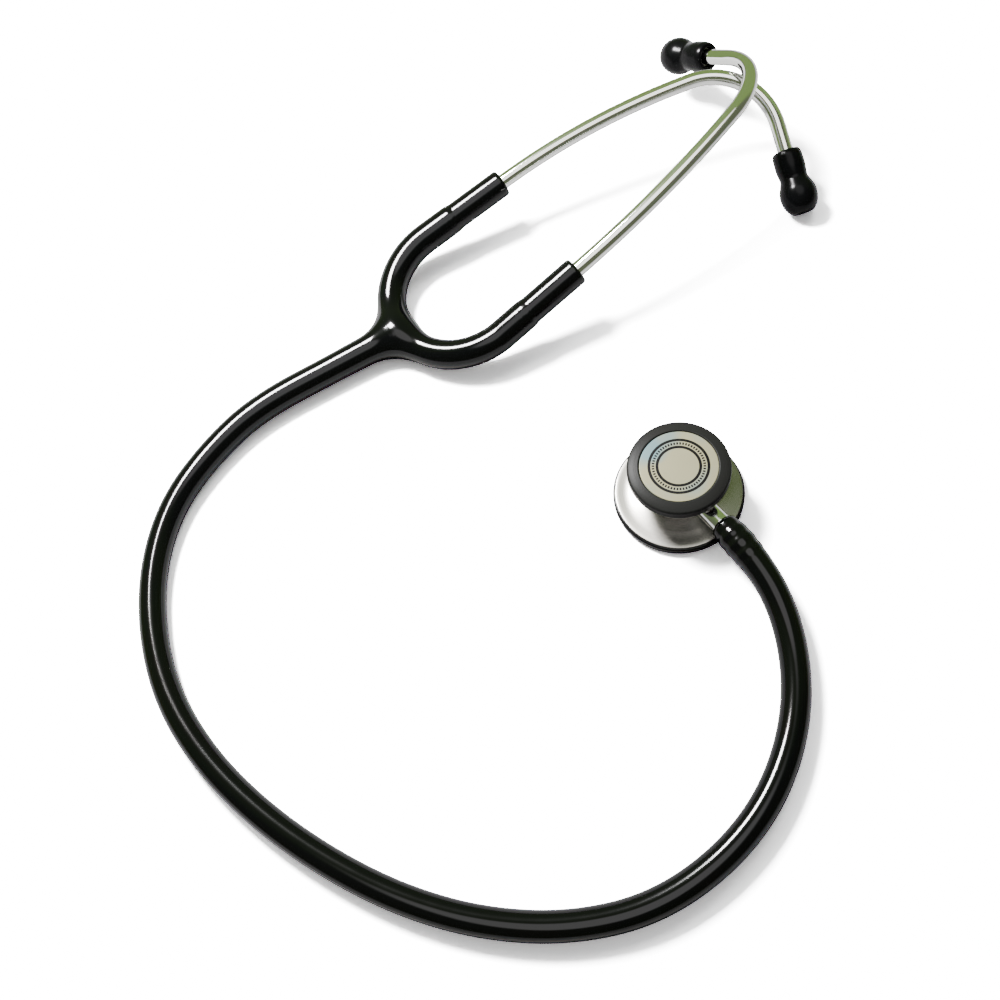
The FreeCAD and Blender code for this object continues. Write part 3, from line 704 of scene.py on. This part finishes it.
body = lathe("chestpiece_skin", [
    (1e-4, 4.0, 0), (1.5, 4.0, 0), (1.5, 2.9, 0.2), (18.6, 1.4, 0.2), (21.1, 1.4, 0.2),
    (21.1, 3.2, 0.1), (21.45, 3.3, 0.15), (21.45, 3.75, 0.25), (20.6, 3.85, 0.5),
    (17.6, 4.05, 2.4), (14.0, 4.75, 2.4), (11.0, 5.75, 2.0), (8.9, 7.0, 1.2),
    (8.0, 8.6, 1.2), (8.0, 13.2, 1.0), (9.2, 14.9, 1.4), (11.6, 16.0, 1.4),
    (15.2, 17.0, 0.4), (15.2, 20.4, 0), (12.0, 20.4, 0.2), (1.5, 17.4, 0), (1e-4, 17.4, 0),
], CHEST_FRAME, 256)
finish_piece(body, TURNED, "chestpiece", "turned_steel", "chestpiece_body")

large_rim = lathe("large_rim_skin", [
    (19.6, 0.45, 0), (19.6, 0.0, 0.15), (21.6, 0.0, 0.6), (22.25, 0.7, 0.5),
    (22.25, 2.6, 0.5), (21.8, 3.1, 0.4), (21.1, 3.15, 0), (21.1, 0.4, 0), (19.6, 0.4, 0),
], CHEST_FRAME, 256)
finish_piece(large_rim, BLACK_RIM, "chestpiece", "rim_plastic", "large_rim")

large_disc = lathe("large_diaphragm_skin", [
    (1e-4, 0.4, 0), (20.4, 0.4, 0.1), (20.4, 0.8, 0.1), (1e-4, 0.8, 0),
], CHEST_FRAME, 192)
finish_piece(large_disc, FILM, "large_membrane", "clear_film", "large_diaphragm")

small_rim = lathe("small_rim_skin", [
    (15.2, 17.3, 0), (16.7, 17.3, 0.35), (17.1, 17.8, 0.3), (17.1, 20.6, 0.35),
    (16.75, 21.15, 0.35), (15.4, 21.6, 0.8), (13.45, 21.95, 0.3), (13.1, 21.85, 0.2),
    (13.0, 21.4, 0), (15.2, 21.4, 0), (15.2, 17.3, 0),
], CHEST_FRAME, 256)
finish_piece(small_rim, RIM, "chestpiece", "rim_plastic", "small_rim")

small_disc = lathe("small_diaphragm_skin", [
    (1e-4, 21.0, 0), (13.8, 21.0, 0), (13.8, 21.38, 0.05), (12.95, 21.4, 0.05),
    (12.85, 21.62, 0.15), (1e-4, 21.62, 0),
], CHEST_FRAME, 256)
finish_piece(small_disc, SILVER, "small_membrane", "silver_film", "small_diaphragm")

CAD_FINISHES = {
    SPRING: ["leaf_spring_bend", "leaf_spring_left_leg", "leaf_spring_right_leg",
             "stem_snap_ring", "detent_spring"],
    STEM_STEEL: ["detent_ball"],
    RUBBER: ["stem_o_ring"],
    RIM: ["small_support_ring"],
}
for surface, names in CAD_FINISHES.items():
    for name in names:
        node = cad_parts[name]
        node.data.materials.clear()
        node.data.materials.append(surface)

# ------------------------------------------------------------------ floor, light, camera
floor = new_object("floor", [(-3000, -3000, 0), (3000, -3000, 0), (3000, 3000, 0),
                             (-3000, 3000, 0)], [(0, 1, 2, 3)])
floor.location.z = -0.0001
FLOOR = material("floor", (0.86, 0.86, 0.86), 0.6, specular=0.0)
floor.data.materials.append(FLOOR)


def tell_apart(made, seen, mirrored):
    """A surface over-exposed where the camera sees it, and dimmer in shiny pieces."""
    nodes, links = made.node_tree.nodes, made.node_tree.links
    base = nodes["Principled BSDF"].inputs["Base Color"]
    plain = base.default_value[0]
    path = nodes.new("ShaderNodeLightPath")
    level = None
    for ray, share in (("Is Camera Ray", seen), ("Is Glossy Ray", mirrored)):
        spread = nodes.new("ShaderNodeMapRange")
        spread.inputs["To Min"].default_value = plain
        if level is not None:
            links.new(level, spread.inputs["To Min"])
        spread.inputs["To Max"].default_value = share
        links.new(path.outputs[ray], spread.inputs["Value"])
        level = spread.outputs["Result"]
    links.new(level, base)


tell_apart(FLOOR, 3.0, 0.20)

CENTRE = Vector((-0.066, -0.027, 0.0))
MAIN_PLACE = (-0.118, 0.333, 0.50)
SOFT_PLACE = (-0.118, 0.333, 0.52)
SECOND_PLACE = (0.42, 0.22, 0.80)


def area_light(name, place, size, power, shows=True):
    """A square lamp facing the middle of the floor. Without shows, nothing mirrors it."""
    data = bpy.data.lights.new(name, "AREA")
    data.size = size
    data.energy = power
    lamp = bpy.data.objects.new(name, data)
    bpy.context.scene.collection.objects.link(lamp)
    lamp.location = place
    way = Vector(place) - CENTRE
    lamp.rotation_euler = way.to_track_quat("Z", "Y").to_euler()
    lamp.visible_glossy = shows
    return lamp


area_light("main_light", MAIN_PLACE, size=0.15, power=42.0)
area_light("soft_light", SOFT_PLACE, size=0.42, power=3.0, shows=False)
area_light("second_light", SECOND_PLACE, size=0.30, power=2.5, shows=False)


WALL_GREEN, WALL_GREY = (0.33, 0.50, 0.16), (0.18, 0.21, 0.13)
CEILING = (4.2, 4.2, 4.1)
WALL_SIDE = (-0.30, -0.95, 0.0)
CEILING_WAY = (-0.05, -0.17, 0.984)
FILL_STRENGTH = 0.36


def make_world():
    """White fill for matte surfaces. Shiny ones mirror an olive room with a white ceiling."""
    world = bpy.data.worlds.new("studio")
    world.use_nodes = True
    nodes, links = world.node_tree.nodes, world.node_tree.links
    fill = nodes["Background"]
    fill.inputs["Color"].default_value = (1.0, 1.0, 1.0, 1.0)
    fill.inputs["Strength"].default_value = FILL_STRENGTH
    where = nodes.new("ShaderNodeTexCoord")

    def towards(direction, low, high):
        """From 0 to 1 as the mirrored direction turns towards this one."""
        facing = nodes.new("ShaderNodeVectorMath")
        facing.operation = "DOT_PRODUCT"
        facing.inputs[1].default_value = direction
        links.new(where.outputs["Generated"], facing.inputs[0])
        spread = nodes.new("ShaderNodeMapRange")
        spread.interpolation_type = "SMOOTHSTEP"
        spread.inputs["From Min"].default_value = low
        spread.inputs["From Max"].default_value = high
        links.new(facing.outputs["Value"], spread.inputs["Value"])
        return spread.outputs["Result"]

    def mixed(share, first, second):
        mix = nodes.new("ShaderNodeMix")
        mix.data_type = "RGBA"
        links.new(share, mix.inputs[0])
        for socket, colour in ((mix.inputs[6], first), (mix.inputs[7], second)):
            if isinstance(colour, tuple):
                socket.default_value = (*colour, 1.0)
            else:
                links.new(colour, socket)
        return mix.outputs[2]

    walls = mixed(towards(WALL_SIDE, -0.2, 0.2), WALL_GREEN, WALL_GREY)
    room_colour = mixed(towards(CEILING_WAY, 0.90, 0.95), walls, CEILING)
    room = nodes.new("ShaderNodeBackground")
    links.new(room_colour, room.inputs["Color"])
    path = nodes.new("ShaderNodeLightPath")
    mix = nodes.new("ShaderNodeMixShader")
    links.new(path.outputs["Is Glossy Ray"], mix.inputs[0])
    links.new(fill.outputs["Background"], mix.inputs[1])
    links.new(room.outputs["Background"], mix.inputs[2])
    links.new(mix.outputs["Shader"], nodes["World Output"].inputs["Surface"])
    bpy.context.scene.world = world


make_world()

CAMERA_LENS, CAMERA_SENSOR = 44.0, 36.0
CAMERA_PLACE = Vector((-126.61, -262.61, 380.0))
CAMERA_TURN = (26.0948, 7.1888, -31.7324)

camera_data = bpy.data.cameras.new("camera")
camera_data.lens = CAMERA_LENS
camera_data.sensor_width = CAMERA_SENSOR
camera = bpy.data.objects.new("camera", camera_data)
bpy.context.scene.collection.objects.link(camera)
camera.rotation_euler = [math.radians(angle) for angle in CAMERA_TURN]
camera.location = (MIDDLE + CAMERA_PLACE) * MM
bpy.context.scene.camera = camera
